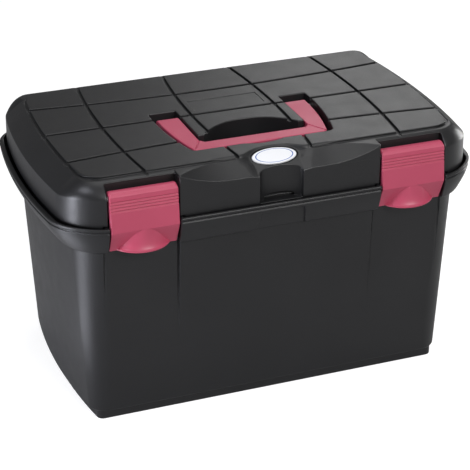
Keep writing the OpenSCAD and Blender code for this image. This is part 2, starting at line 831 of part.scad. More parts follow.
// Round flared finger tab under the bend, cut off behind the plate
module latch_tab(mid_x) {
    rise = bend_z - tip_z;
    neck_r = tab_axis_y - bend_y;
    sweep = [for (i = [0 : tab_steps]) let (a = 90 * i / tab_steps)
        [mix(tab_r, neck_r, sin(a)), mix(rise, tab_t, cos(a))]];
    intersection() {
        translate([mid_x, tab_axis_y, tip_z]) rotate_extrude()
            polygon(concat([[0, 0], [tab_r, 0]], sweep, [[0, rise]]));
        along_x(mid_x - latch_w / 2, latch_w)
            polygon([[-far, tip_z], [hook_y, tip_z], [hook_y, hook_z], [hook_back_y, hook_z],
                [plate_back_y, bend_z], [-far, bend_z]]);
    }
}

module latch(side) {
    mid_x = side * latch_x;
    groove_top = pivot_z - barrel_r / 2;
    color(pink_plastic)
    difference() {
        union() {
            along_x(mid_x - latch_w / 2, latch_w) latch_side();
            latch_tab(mid_x);
        }
        bar_x(mid_x, pivot_y, pivot_z, latch_w + skin, latch_pin_d / 2 + pin_gap);
        for (i = [0 : 1 : latch_grooves - 1]) {
            z = groove_top - i * latch_groove_pitch;
            face_y = mix(pivot_y - barrel_r, bend_y, (pivot_z - z) / (pivot_z - bend_z));
            block([mid_x - latch_w / 2 - skin, -far, z - latch_groove_w],
                [mid_x + latch_w / 2 + skin, face_y + latch_groove_w, z]);
        }
    }
}

// Plan of the bail handle: two legs with arched outer sides, and the grip
module handle_plan() {
    difference() {
        round_front(handle_hw, handle_front, handle_pivot_y, handle_corner_r);
        translate([-leg_inner, grip_back]) square([2 * leg_inner, far]);
    }
}

module handle() {
    color(pink_plastic)
    difference() {
        union() {
            translate([0, 0, handle_low]) linear_extrude(handle_t) handle_plan();
            for (side = [-1, 1])
                bar_x(side * (handle_hw - leg_w / 2), handle_pivot_y, handle_pivot_z, leg_w, handle_t / 2);
        }
        for (side = [-1, 1])
            bar_x(side * (handle_hw - leg_w / 2), handle_pivot_y, handle_pivot_z, leg_w + skin,
                handle_pin_d / 2 + pin_gap);
    }
}

module badge() {
    color(white_plastic)
    at_badge() translate([0, 0, -badge_seat]) linear_extrude(badge_t) badge_plan(0);
}

// Level of the tray at a height, set in from its rim, which stays clear of the tub
function tray_level(z, in) = [
    z,
    wall_hl_at(z) - tub_wall - tray_gap - in,
    wall_hd_at(z) - tub_wall - tray_side_gap - in,
    corner_r_at(z) - tub_wall - in,
    corner_r_at(z) - tub_wall - in,
    tub_bow_r
];

// Half depth inside the tray at a height, set in from the faces of its walls
function tray_room_hd(z, in) = tray_level(z, tray_rim + tray_wall + in)[2];

// Pairs of upright guides on the front and back walls that hold a divider between them
module divider_guides(mid_x) {
    low = tray_low + tray_wall / 2;
    high = low + divider_h;
    from_mid = divider_t / 2 + divider_gap;
    for (x = [mid_x - from_mid - guide_w, mid_x + from_mid]) for (end = [0, 1]) mirror([0, end, 0])
        along_x(x, guide_w)
            polygon([[tray_room_hd(low, guide_out), low], [tray_room_hd(low, -skin), low],
                [tray_room_hd(high, -skin), high], [tray_room_hd(high, guide_out), high]]);
}

module tray() {
    color(grey_plastic) {
        difference() {
            loft([tray_level(tray_low, tray_rim), tray_level(tray_top - tray_wall, tray_rim),
                tray_level(tray_top - tray_wall, 0), tray_level(tray_top, 0)]);
            loft([tray_level(tray_low + tray_wall, tray_rim + tray_wall),
                inset(tray_level(tray_top, tray_rim + tray_wall), 0, skin)]);
        }
        for (side = [-1, 1]) divider_guides(side * divider_x);
    }
}

module divider(side) {
    high = divider_low + divider_h;
    low_half = tray_room_hd(divider_low, divider_gap);
    high_half = tray_room_hd(high, divider_gap);
    color(grey_plastic)
    along_x(side * divider_x - divider_t / 2, divider_t)
        polygon([[-low_half, divider_low], [low_half, divider_low], [high_half, high], [-high_half, high]]);
}

tub();
lid();
hinge_pin(-1);  // hinge_pin_left
hinge_pin(1);  // hinge_pin_right
latch(-1);  // latch_left
latch(1);  // latch_right
latch_pin(-1);  // latch_pin_left
latch_pin(1);  // latch_pin_right
handle();
handle_pin(-1);  // handle_pin_left
handle_pin(1);  // handle_pin_right
badge();
tray();
divider(-1);  // divider_left
divider(1);  // divider_right
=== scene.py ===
"""Looks of a horse grooming box: moulded black tub and lid, pink latches and handle, grey tray.

The moulded pieces are written as distance fields in millimetres, negative inside the plastic,
so that every edge gets the small round of a real moulding. Each field is turned into a mesh
that replaces its CAD node.
"""
import math

import bpy
import numpy as np
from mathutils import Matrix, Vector


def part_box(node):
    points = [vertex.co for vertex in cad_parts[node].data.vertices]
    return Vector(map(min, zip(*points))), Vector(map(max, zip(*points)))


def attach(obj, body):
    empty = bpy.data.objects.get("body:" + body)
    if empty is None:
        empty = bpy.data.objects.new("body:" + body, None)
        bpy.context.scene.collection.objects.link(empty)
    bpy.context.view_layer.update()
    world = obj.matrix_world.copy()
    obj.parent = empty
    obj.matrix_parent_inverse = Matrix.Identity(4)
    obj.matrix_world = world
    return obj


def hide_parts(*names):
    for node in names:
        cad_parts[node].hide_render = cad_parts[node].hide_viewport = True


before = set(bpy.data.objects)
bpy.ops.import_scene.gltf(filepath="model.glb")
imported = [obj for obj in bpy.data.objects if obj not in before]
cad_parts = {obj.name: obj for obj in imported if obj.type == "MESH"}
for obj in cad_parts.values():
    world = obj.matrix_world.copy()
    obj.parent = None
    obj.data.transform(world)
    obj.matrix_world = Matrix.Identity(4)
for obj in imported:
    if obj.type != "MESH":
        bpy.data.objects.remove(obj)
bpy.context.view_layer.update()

MM = 0.001

# Rounds of the edges, from the crispest to the softest. All sizes down to the tray's are in millimetres.
HAIR, CRISP, FINE, SMALL, TRIM = 0.2, 0.3, 0.4, 0.5, 0.6
LUG, EDGE, SOFT, BROAD, FULL = 0.7, 0.8, 1.0, 1.2, 1.5

# How far a cut or a block runs on past what it meets
OVERLAP, CLEAR = 1.0, 9.0

# Tub
BASE_HL, BASE_HD, BASE_CORNER = 174.0, 98.0, 14.0
WALL_HL, WALL_HD, WALL_CORNER = 183.0, 110.0, 27.0
WALL_H, FOOT_H, FOOT_IN, FOOT_END_IN, FOOT_CORNER = 170.0, 8.0, 2.5, 4.5, 5.0
TUB_WALL, FLOOR_T, TUB_BOW = 3.0, 3.2, 540.0
FLOOR_ROUND, FOOT_FLOOR_ROUND, FOOT_EDGE_ROUND = 3.0, 2.0, 2.2
PANEL_D, PANEL_HW, PANEL_LOW, PANEL_LINE_D = 2.4, 33.0, 72.0, 0.9
PANEL_LINE_FROM, PANEL_LINE_TO, PANEL_LEAST_ROUND = -2.0, -0.4, 0.02
RIB_TOP, RIB_W, RIB_END, RIB_SIDE = 110.0, 6.0, 160.7, 85.6

# Collar
LIP_HL, LIP_HD, LIP_CORNER, LIP_BACK_CORNER, END_BOW = 200.0, 122.0, 44.0, 33.0, 580.0
LIP_Z, LIP_T, COLLAR_OUT, COLLAR_LOW_ROUND = 195.0, 3.0, 5.6, 1.6
NOTCH_HW, NOTCH_D, RIM_BAND, NOTCH_FLARE = 19.8, 2.2, 7.0, 0.12
RIM_LINE_DOWN, RIM_LINE_D, LIP_END_GAP = 3.6, 0.9, 2.2

# Lid
LID_TOP, LID_WALL, CEILING_D, SKIRT_Z = 233.5, 3.0, 4.2, 173.5
LID_HL, LID_HD, LID_CORNER, LID_BACK_CORNER = 193.0, 117.0, 36.0, 27.0
SKIRT_HL, SKIRT_HD = 183.1, 110.1
END_DRAFT, END_RUN, END_RISE, END_POWER = 0.5, 19.5, 15.7, 1.1
SLOPE_RUN, SLOPE_RISE, SLOPE_POWER, CORNER_POWER = 17.0, 14.0, 1.3, 1.75
LID_FRONT_Y = -40.0
GROOVE_OUTER, GROOVE_INNER, GROOVE_ROW, GROOVE_ROW_R = 121.8, 39.4, 51.2, 1450.0
GROOVE_HW, GROOVE_ROW_HW, GROOVE_BOW = 1.45, 1.9, 780.0
GROOVE_D, LEDGE_D, BORDER_LINE_HW, GROOVE_EDGE = 2.3, 1.7, 0.9, 0.35
BORDER_HL, BORDER_HD, BORDER_CORNER = 172.3, 98.8, 15.0
STEP_HW, STEP_FRONT, STEP_BACK, STEP_D = 33.0, 7.0, 31.0, 0.5
FACET_IN, FACET_X, FACET_R, FACET_SLOPE = 17.3, 40.0, 85.0, 0.64
FACET_OVER, FACET_EDGE = 2.0, 0.25
SCOOP_HW, SCOOP_D, SCOOP_POWER = 19.5, 8.4, 2.2
SLIT_HW, SLIT_DEPTH, SLIT_H, SLIT_UP = 16.5, 3.6, 3.2, 1.0

# Hinges
HINGE_X, HINGE_Y, HINGE_Z, KNUCKLE_R = 105.0, 127.0, 199.0, 5.0
KNUCKLE_MID_HW, KNUCKLE_GAP, KNUCKLE_SIDE_W = 11.0, 0.5, 12.0
BORE_R, BRACKET_RUN, BRACKET_RISE, ARM_OVER_LIP = 2.2, 1.5, 4.0, 0.5

# Latches
LATCH_X, LATCH_HW, POCKET_HW = 121.8, 29.6, 30.7
PIVOT_Y, PIVOT_Z, BARREL_R = -111.5, 218.6, 6.4
BEND_Y, BEND_Z, PLATE_T = -120.7, 190.5, 4.4
TIP_Z, HOOK_Z, HOOK_Y, HOOK_BACK_Y = 171.0, 178.0, -110.2, -113.7
POCKET_BACK, LID_POCKET_BACK, POCKET_TOP = -109.4, -104.4, 229.6
POCKET_ROOM, LIP_ROOM = 1.1, 0.3
CATCH_OUT, CATCH_LOW, CATCH_TOP = 3.1, 0.8, 5.8
LATCH_TOP_ROUND, LATCH_ROUND_FROM, LATCH_FRONT_CLEAR = 2.0, 1.0, 20.0
TAB_R, TAB_AXIS_Y, TAB_T, TAB_EASE = 27.6, -97.4, 1.6, 0.85
BARREL_FACE = [(PIVOT_Y - 4.2, PIVOT_Z + 5.4), (PIVOT_Y - 6.08, PIVOT_Z + 3.2)]
RIB_COUNT, RIB_PITCH, RIB_FIRST_Z, RIB_R = 4, 2.6, 216.9, 0.9

# Handle
HANDLE_Y, HANDLE_Z, HANDLE_HT = 1.0, 225.5, 6.0
HANDLE_HW, LEG_INNER, HANDLE_FRONT, GRIP_BACK = 70.5, 50.5, -71.0, -52.0
LEG_SIDE_R, HANDLE_CORNER, HANDLE_EDGE = 280.0, 4.0, 0.9
GRIP_ROUND, GRIP_BLEND = 6.0, 4.0
MITRE_RUN, CREASE_HW, CREASE_D = np.array([11.0, 19.0]), 0.6, 0.5
SLOT_HW, SLOT_INNER, SLOT_FRONT, SLOT_BACK, SLOT_LOW = 75.0, 49.5, -75.5, 14.0, 217.0
SLOT_CORNER, SLOT_BACK_ROUND, ISLAND_FRONT = 4.0, 2.0, -46.0
SCALLOP_HW, SCALLOP_D = 18.0, 4.0
WELL_R, WELL_Y, WELL_LOW, WELL_ROUND = 54.0, -77.4, 203.5, 3.0
BOSS_HW, BOSS_HD, BOSS_DOWN = 3.0, 6.0, 2.5

# Badge
BADGE_HL, BADGE_HH, BADGE_Y, BADGE_Z = 20.0, 8.75, -98.7, 228.5
BADGE_TILT = math.radians(26)
BADGE_SEAT, BADGE_PROUD, BADGE_GAP, BADGE_GAP_D = 1.2, 0.8, 1.4, 1.6
DOME_DROP_X, DOME_DROP_UP = 0.55, 0.45
BADGE_MARGIN, TONGUE_MARGIN, TONGUE_ROUND, TONGUE_OVER = 2.2, 0.8, 4.0, 0.3
BANK_LOW, BANK_HIGH, BANK_START = 0.4, 2.0, 2.0

# Tray
TRAY_LOW, TRAY_TOP, TRAY_WALL, TRAY_RIM = 110.5, 165.5, 2.2, 4.0
TRAY_GAP, TRAY_SIDE_GAP = 6.0, 7.0
TRAY_ROUND, DIVIDER_EDGE = 2.0, 0.5
DIVIDER_X, GUIDE_FROM, GUIDE_TO, GUIDE_OUT, GUIDE_TOP = 58.0, 1.25, 4.25, 4.0, 155.6


# Ways to put fields together

def mix(a, b, share):
    return a + (b - a) * share


def smooth(low, high, value):
    """0 below low, 1 above high, and a soft turn between them."""
    share = np.clip((value - low) / (high - low), 0, 1)
    return share * share * (3 - 2 * share)


def both(a, b, radius):
    """What lies in a and in b, with their shared edge rounded."""
    outside = np.hypot(np.maximum(a + radius, 0), np.maximum(b + radius, 0))
    return np.minimum(np.maximum(a, b), -radius) + outside


def either(a, b, radius):
    """What lies in a or in b, with the inner corner filled to a radius."""
    return -both(-a, -b, radius)


def without(a, cut, radius):
    """What lies in a and not in the cut, with their shared edge rounded."""
    return both(a, -cut, radius)


def bulging(side, top, run, rise, power):
    """What lies inside a wall and under a top, with an edge that bulges over a run and a rise."""
    u = np.maximum(1 + side / run, 0) ** power
    v = np.maximum(1 + top / rise, 0) ** power
    total = np.maximum(u + v, 1e-6)
    edge = (total ** (1 / power) - 1) * (run * u + rise * v) / total
    return np.where(u + v > 1e-6, edge, np.maximum(side, top))


def outline(x, y, half_len, half_dep, corner, bow, back_corner=None):
    """Plan with straight long sides, bowed ends and round corners."""
    if back_corner is not None:
        corner = np.where(y > 0, back_corner, corner)
    end = np.hypot(x - (half_len - bow), y) - bow
    return both(end, np.abs(y) - half_dep, corner)


def box(x, y, z, low, high):
    """Block between two corners."""
    return np.maximum.reduce([low[0] - x, x - high[0], low[1] - y, y - high[1], low[2] - z, z - high[2]])


def polygon(y, z, points):
    """Closed outline through points, drawn in Y and Z."""
    nearest = np.full(y.shape, np.inf)
    inside = np.zeros(y.shape, bool)
    for (ay, az), (by, bz) in zip(points, points[1:] + points[:1]):
        ey, ez = by - ay, bz - az
        share = np.clip(((y - ay) * ey + (z - az) * ez) / (ey * ey + ez * ez), 0, 1)
        nearest = np.minimum(nearest, np.hypot(y - ay - share * ey, z - az - share * ez))
        crosses = (az > z) != (bz > z)
        slope = ey / ez if ez else 0.0
        inside ^= crosses & (y < ay + (z - az) * slope)
    return np.where(inside, -nearest, nearest)


def oval(x, s, half_len, half_high):
    """Ellipse, with about the right distances near its edge."""
    reach = np.hypot(x / half_len, s / half_high)
    return reach * (reach - 1) / np.maximum(np.hypot(x / half_len**2, s / half_high**2), 1e-4)


def badge_axes(y, z):
    """Height over the badge's plane, and the way up along it."""
    over = (z - BADGE_Z) * math.cos(BADGE_TILT) - (y - BADGE_Y) * math.sin(BADGE_TILT)
    up = (y - BADGE_Y) * math.cos(BADGE_TILT) + (z - BADGE_Z) * math.sin(BADGE_TILT)
    return over, up


# Tub

def tub_plan(x, y, z, inset):
    """Plan of the drafted wall at a height."""
    share = (np.maximum(z, FOOT_H) - FOOT_H) / (WALL_H - FOOT_H)
    return outline(
        x, y, mix(BASE_HL, WALL_HL, share) - inset, mix(BASE_HD, WALL_HD, share) - inset,
        mix(BASE_CORNER, WALL_CORNER, share) - inset, TUB_BOW,
    )


def collar_plan(x, y, z, low, inset):
    """Plan of the collar at a height, which swells from its low edge up to the lip."""
    swell = np.sin(np.clip((z - low) / (LIP_Z - low), 0, 1) * math.pi / 2)
    return outline(
        x, y,
        mix(WALL_HL + COLLAR_OUT, LIP_HL, swell) - inset,
        mix(WALL_HD + COLLAR_OUT, LIP_HD, swell) - inset,
        mix(WALL_CORNER + COLLAR_OUT, LIP_CORNER, swell) - inset,
        mix(TUB_BOW, END_BOW, swell) - inset,
        mix(WALL_CORNER + COLLAR_OUT, LIP_BACK_CORNER, swell) - inset,
    )


def foot_plan(x, y, inset):
    return outline(
        x, y, BASE_HL - FOOT_END_IN - inset, BASE_HD - FOOT_IN - inset, FOOT_CORNER - inset, TUB_BOW
    )


def sunk_panel(x, y, z, wall):
    """Hollow under a latch that runs out down the drafted wall, made larger by a wall."""
    low_y = -mix(BASE_HD, WALL_HD, (PANEL_LOW - FOOT_H) / (WALL_H - FOOT_H))
    share = (z - PANEL_LOW) / (WALL_H - PANEL_LOW)
    across = np.abs(x - LATCH_X) - PANEL_HW - wall
    line = PANEL_LINE_D * share * smooth(PANEL_LINE_FROM, PANEL_LINE_TO, across)
    face_y = mix(low_y, -WALL_HD + PANEL_D, share) + line + wall
    return np.maximum.reduce([across, y - face_y, PANEL_LOW - z, z - WALL_H - OVERLAP])


def tub_cavity(x, y, z):
    """Room inside the tub, with the ribs and the walls behind panels and latch pockets left standing."""
    wall = both(tub_plan(x, y, z, TUB_WALL), FOOT_H + FLOOR_T - z, FLOOR_ROUND)
    foot = both(foot_plan(x, y, TUB_WALL), FLOOR_T - z, FOOT_FLOOR_ROUND)
    foot = np.maximum(foot, z - FOOT_H - 2 * FLOOR_T)
    room = either(wall, foot, SOFT)
    room = np.maximum(room, z - WALL_H - TUB_WALL - OVERLAP)
    upper = both(collar_plan(x, y, z, WALL_H + TUB_WALL, LIP_T), WALL_H + TUB_WALL - z, SOFT)
    upper = np.maximum(upper, np.hypot(x - (LID_HL + LIP_END_GAP - END_BOW), y) - END_BOW)
    room = either(room, upper, BROAD)
    end_rib = np.maximum(np.abs(np.abs(y) - BASE_HD / 2 + RIB_W / 2) - RIB_W / 2, RIB_END - x)
    side_rib = np.maximum(np.abs(x - BASE_HL / 2 + RIB_W / 2) - RIB_W / 2, RIB_SIDE - np.abs(y))
    rib = both(np.minimum(end_rib, side_rib), z - RIB_TOP, SOFT)
    room = without(room, rib, SOFT)
    pocket_wall = box(
        x, y, z,
        (LATCH_X - POCKET_HW - TUB_WALL, -LIP_HD - CLEAR, WALL_H - TUB_WALL),
        (LATCH_X + POCKET_HW + TUB_WALL, POCKET_BACK + TUB_WALL, LIP_Z + CLEAR),
    )
    return without(room, np.minimum(pocket_wall, sunk_panel(x, y, z, TUB_WALL)), SOFT)


def tub_knuckle(x, y, z):
    """The tub's part of a hinge: a barrel on a bracket under the lip."""
    across = np.abs(x - HINGE_X) - KNUCKLE_MID_HW
    barrel = np.hypot(y - HINGE_Y, z - HINGE_Z) - KNUCKLE_R
    root_y, root_z = LIP_HD - LIP_T / 2, (WALL_H + LIP_Z) / 2
    bracket = np.maximum.reduce([
        y - HINGE_Y - KNUCKLE_R,
        z - HINGE_Z,
        root_y - y,
        ((y - root_y) - (z - root_z)) * math.sqrt(0.5),
        ((z - LIP_Z) * BRACKET_RUN - (y - root_y) * BRACKET_RISE) / math.hypot(BRACKET_RISE, BRACKET_RUN),
    ])
    lug = both(np.minimum(barrel, bracket), across, LUG)
    return without(lug, np.hypot(y - HINGE_Y, z - HINGE_Z) - BORE_R, CRISP)


def tub_field(x, y, z):
    x = np.abs(x)
    wall = both(both(tub_plan(x, y, z, 0), FOOT_H - z, FOOT_EDGE_ROUND), z - WALL_H - TUB_WALL, SMALL)
    foot = np.maximum(both(foot_plan(x, y, 0), -z, EDGE), z - FOOT_H - OVERLAP)
    collar = collar_plan(x, y, z, WALL_H, 0)
    rim_line = np.hypot(collar, z - LIP_Z + RIM_LINE_DOWN) - RIM_LINE_D
    notch_side = x - NOTCH_HW - (LIP_Z - RIM_BAND - z) * NOTCH_FLARE
    notch = both(both(notch_side, -NOTCH_D - collar, FINE), z - LIP_Z + RIM_BAND, SOFT)
    collar = both(both(collar, z - LIP_Z, SOFT), WALL_H - z, COLLAR_LOW_ROUND)
    collar = without(collar, rim_line, CRISP)
    collar = np.where(y < 0, without(collar, notch, FINE), collar)
    body = either(either(wall, foot, EDGE), collar, EDGE)
    sunk = PANEL_D * (z - PANEL_LOW) / (WALL_H - PANEL_LOW)
    body = without(body, sunk_panel(x, y, z, 0), np.clip(sunk / 2, PANEL_LEAST_ROUND, EDGE))
    body = without(body, tub_cavity(x, y, z), SOFT)
    pocket = np.maximum.reduce([np.abs(x - LATCH_X) - POCKET_HW, y - POCKET_BACK, WALL_H - z])
    body = without(body, pocket, LUG)
    catch = box(
        x, y, z,
        (LATCH_X - POCKET_HW - OVERLAP, POCKET_BACK - CATCH_OUT, HOOK_Z + CATCH_LOW),
        (LATCH_X + POCKET_HW + OVERLAP, POCKET_BACK + OVERLAP, HOOK_Z + CATCH_TOP),
    )
    body = either(body, catch, SMALL)
    return either(body, tub_knuckle(x, y, z), EDGE)


# Lid

def lid_body(x, y, z):
    """The lid as a full block: walls, sloped edges and the flat facets in front."""
    above = np.clip((z - LIP_Z) / (LID_TOP - LIP_Z), 0, 1)
    low = np.clip((z - SKIRT_Z) / (LIP_Z - SKIRT_Z), 0, 1)
    half_len = mix(SKIRT_HL, LID_HL, low) - END_DRAFT * above
    bow = mix(TUB_BOW, END_BOW, low)
    corner = mix(WALL_CORNER, np.where(y > 0, LID_BACK_CORNER, LID_CORNER), low)
    end = np.hypot(x - (half_len - bow), y) - bow
    side = np.abs(y) - mix(SKIRT_HD, LID_HD, low)
    wall = both(end, side, corner)
    to_end, to_side = np.maximum(end + corner, 0) ** 2, np.maximum(side + corner, 0) ** 2
    endness = to_end / np.maximum(to_end + to_side, 1e-3)
    cornerness = 4 * endness * (1 - endness)
    power = mix(mix(SLOPE_POWER, END_POWER, endness), CORNER_POWER, cornerness)
    body = bulging(
        wall, z - LID_TOP, mix(SLOPE_RUN, END_RUN, endness), mix(SLOPE_RISE, END_RISE, endness), power
    )
    block = both(np.maximum(np.maximum(wall, y + BORDER_HD), z - LID_TOP), x - LATCH_X + POCKET_HW, BROAD)
    body = either(body, block, CRISP)
    reach = FACET_R - np.sqrt(FACET_R**2 - np.clip(x - FACET_X, 0, POCKET_HW * 2) ** 2)
    facet = z - LID_TOP + LEDGE_D - FACET_SLOPE * (y + LID_HD - FACET_IN + reach)
    between_latches = (y < 0) & (x < LATCH_X - POCKET_HW + FACET_OVER)
    facet = np.where(between_latches, facet / math.hypot(1, FACET_SLOPE), -LID_HD)
    return both(body, facet, FACET_EDGE)


def handle_recess(x, y, z):
    """U-shaped slot and round-backed finger well in the top."""
    side = np.hypot(x - (SLOT_HW - LEG_SIDE_R), y - HANDLE_Y) - LEG_SIDE_R
    slot = both(side, SLOT_FRONT - y, SLOT_CORNER)
    slot = both(slot, y - SLOT_BACK, SLOT_BACK_ROUND)
    slot = without(slot, both(x - SLOT_INNER, ISLAND_FRONT - y, EDGE), EDGE)
    scallop_r = (SCALLOP_HW**2 + SCALLOP_D**2) / (2 * SCALLOP_D)
    scallop = np.hypot(x, y - SLOT_FRONT + SCALLOP_D - scallop_r) - scallop_r
    slot = np.minimum(slot, np.maximum(scallop, y - SLOT_FRONT - OVERLAP))
    well = np.maximum.reduce([np.hypot(x, y - WELL_Y) - WELL_R, x - SLOT_INNER, SLOT_FRONT - y])
    return np.minimum(both(slot, SLOT_LOW - z, EDGE), both(well, WELL_LOW - z, WELL_ROUND))


def lid_pocket(x, y, z):
    """Room for a latch in the lid's front, wider below the lip where the tub's pocket stands."""
    across = np.abs(x - LATCH_X)
    upper = np.maximum(both(across - POCKET_HW, z - POCKET_TOP, FULL), y - LID_POCKET_BACK)
    lower_hw = POCKET_HW + TUB_WALL + POCKET_ROOM
    lower = np.maximum.reduce([across - lower_hw, z - LIP_Z - LIP_ROOM, y - LID_POCKET_BACK])
    return np.minimum(upper, lower)


def badge_trough(x, y, z):
    """Slanted tongue from the badge down to the scoop, with soft banks beside it."""
    over, up = badge_axes(y, z)
    surround = oval(x, up, BADGE_HL + BADGE_MARGIN, BADGE_HH + BADGE_MARGIN)
    tongue = np.maximum(x - SCOOP_HW - TONGUE_MARGIN, up)
    away = np.maximum(either(surround, tongue, TONGUE_ROUND), 0)
    bank = mix(BANK_LOW, BANK_HIGH, smooth(0, BADGE_HH, up))
    return (TONGUE_OVER + bank * away * away / (away + BANK_START) - over) / np.hypot(1, bank)


def scoop(x, y, z):
    """Finger hollow in the lid's front, with a slit at its foot."""
    behind = y + LID_HD
    across, inward = x / SCOOP_HW, np.maximum(behind, 0) / SCOOP_D
    reach = (across**SCOOP_POWER + inward**SCOOP_POWER) ** (1 / SCOOP_POWER)
    hollow = (reach - 1) * SCOOP_D
    slit_in, slit_up = (behind - SCOOP_D) / SLIT_DEPTH, (z - LIP_Z - SLIT_UP) / SLIT_H
    slit = np.sqrt((x / SLIT_HW) ** 2 + slit_in**2 + slit_up**2)
    return np.maximum(np.minimum(hollow, (slit - 1) * SLIT_H), LIP_Z - z)


def grooves(x, y, z):
    """The ledge round the raised field of the top, and the grooves that part the field."""
    border = outline(x, y, BORDER_HL, BORDER_HD, BORDER_CORNER, GROOVE_BOW)
    line = np.minimum.reduce([
        np.abs(np.hypot(x - (GROOVE_OUTER - GROOVE_BOW), y) - GROOVE_BOW) - GROOVE_HW,
        np.abs(np.hypot(x - (GROOVE_INNER - GROOVE_BOW), y) - GROOVE_BOW) - GROOVE_HW,
        np.abs(np.hypot(x, np.abs(y) - GROOVE_ROW - GROOVE_ROW_R) - GROOVE_ROW_R) - GROOVE_ROW_HW,
        np.abs(y) - GROOVE_ROW_HW,
    ])
    ledge = both(-border, LID_TOP - LEDGE_D - z, CRISP)
    line = np.minimum(line, np.abs(border - BORDER_LINE_HW) - BORDER_LINE_HW)
    return np.minimum(ledge, both(line, LID_TOP - GROOVE_D - z, CRISP))


def lid_knuckles(x, y, z):
    """The lid's parts of a hinge, on both sides of the tub's."""
    shift = KNUCKLE_MID_HW + KNUCKLE_GAP + KNUCKLE_SIDE_W / 2
    across = np.abs(np.abs(x - HINGE_X) - shift) - KNUCKLE_SIDE_W / 2
    barrel = np.hypot(y - HINGE_Y, z - HINGE_Z) - KNUCKLE_R
    arm = np.maximum.reduce([
        LID_HD - LID_WALL / 2 - y, y - HINGE_Y, LIP_Z + ARM_OVER_LIP - z, z - HINGE_Z - KNUCKLE_R
    ])
    lug = both(np.minimum(barrel, arm), across, LUG)
    return without(lug, np.hypot(y - HINGE_Y, z - HINGE_Z) - BORE_R, CRISP)


def lid_field(x, y, z):
    x = np.abs(x)
    shape = lid_body(x, y, z)
    front = y < LID_FRONT_Y
    shape = np.where(front, without(shape, badge_trough(x, y, z), FULL), shape)
    shape = np.where(front, without(shape, scoop(x, y, z), SMALL), shape)
    shape = without(shape, handle_recess(x, y, z), EDGE)
    shape = np.where(front, without(shape, lid_pocket(x, y, z), BROAD), shape)
    room = np.maximum(shape + LID_WALL, z - LID_TOP + CEILING_D)
    boss_x = np.minimum(np.abs(x - SLOT_INNER + BOSS_HW), np.abs(x - SLOT_HW - BOSS_HW)) - BOSS_HW
    boss = np.maximum.reduce([boss_x, np.abs(y - HANDLE_Y) - BOSS_HD, SLOT_LOW - BOSS_DOWN - z])
    room = without(room, boss, SOFT)
    over, up = badge_axes(y, z)
    seat = np.maximum(oval(x, up, BADGE_HL + BADGE_GAP, BADGE_HH + BADGE_GAP), -BADGE_GAP_D - over)
    shape = np.where(front, without(shape, seat, CRISP), shape)
    shape = without(shape, grooves(x, y, z), GROOVE_EDGE)
    step = np.maximum.reduce([x - STEP_HW, STEP_FRONT - y, y - STEP_BACK, LID_TOP - STEP_D - z])
    shape = without(shape, step, HAIR)
    shell = both(without(shape, room, EDGE), SKIRT_Z - z, EDGE)
    return either(shell, lid_knuckles(x, y, z), EDGE)


# Latch, drawn about its own middle

def latch_field(x, y, z):
    x = np.abs(x)
    profile = polygon(y, z, [
        *BARREL_FACE, (BEND_Y, BEND_Z), (HOOK_Y - TAB_T, TIP_Z), (HOOK_Y, TIP_Z),
        (HOOK_Y, HOOK_Z), (HOOK_BACK_Y, HOOK_Z), (BEND_Y + PLATE_T, BEND_Z),
        (PIVOT_Y, PIVOT_Z - BARREL_R), (PIVOT_Y, PIVOT_Z),
    ])
    profile = np.minimum(profile, np.hypot(y - PIVOT_Y, z - PIVOT_Z) - BARREL_R)
    corner = mix(LUG, LATCH_TOP_ROUND, smooth(PIVOT_Z + LATCH_ROUND_FROM, PIVOT_Z + BARREL_R, z))
    plate = both(profile, x - LATCH_HW, corner)
    rise = BEND_Z - TIP_Z
    height = z - TIP_Z
    neck = TAB_AXIS_Y - BEND_Y
    drop = np.clip((rise - height) / (rise - TAB_T), 0, 1)
    sweep = TAB_R - (TAB_R - neck) * np.sqrt(1 - drop * drop)
    tab = (np.hypot(x, y - TAB_AXIS_Y) - sweep) * TAB_EASE
    tab = both(both(tab, TIP_Z - z, TRIM), z - BEND_Z, CRISP)
    clear_y, clear_low, clear_high = -LIP_HD - LATCH_FRONT_CLEAR, TIP_Z - CLEAR, BEND_Z + CLEAR
    before_hook = polygon(y, z, [
        (clear_y, clear_low), (HOOK_Y, clear_low), (HOOK_Y, HOOK_Z), (HOOK_BACK_Y, HOOK_Z),
        (BEND_Y + PLATE_T, BEND_Z), (BEND_Y + PLATE_T, clear_high), (clear_y, clear_high),
    ])
    tab = both(tab, before_hook, FINE)
    latch = np.minimum(plate, both(tab, x - LATCH_HW, TRIM))
    for i in range(RIB_COUNT):
        groove_z = RIB_FIRST_Z - i * RIB_PITCH
        face_y = mix(PIVOT_Y - BARREL_R, BEND_Y, (PIVOT_Z - groove_z) / (PIVOT_Z - BEND_Z))
        groove = np.hypot(y - face_y, z - groove_z) - RIB_R
        latch = without(latch, groove, CRISP)
    return without(latch, np.hypot(y - PIVOT_Y, z - PIVOT_Z) - BORE_R, CRISP)


# Handle and badge

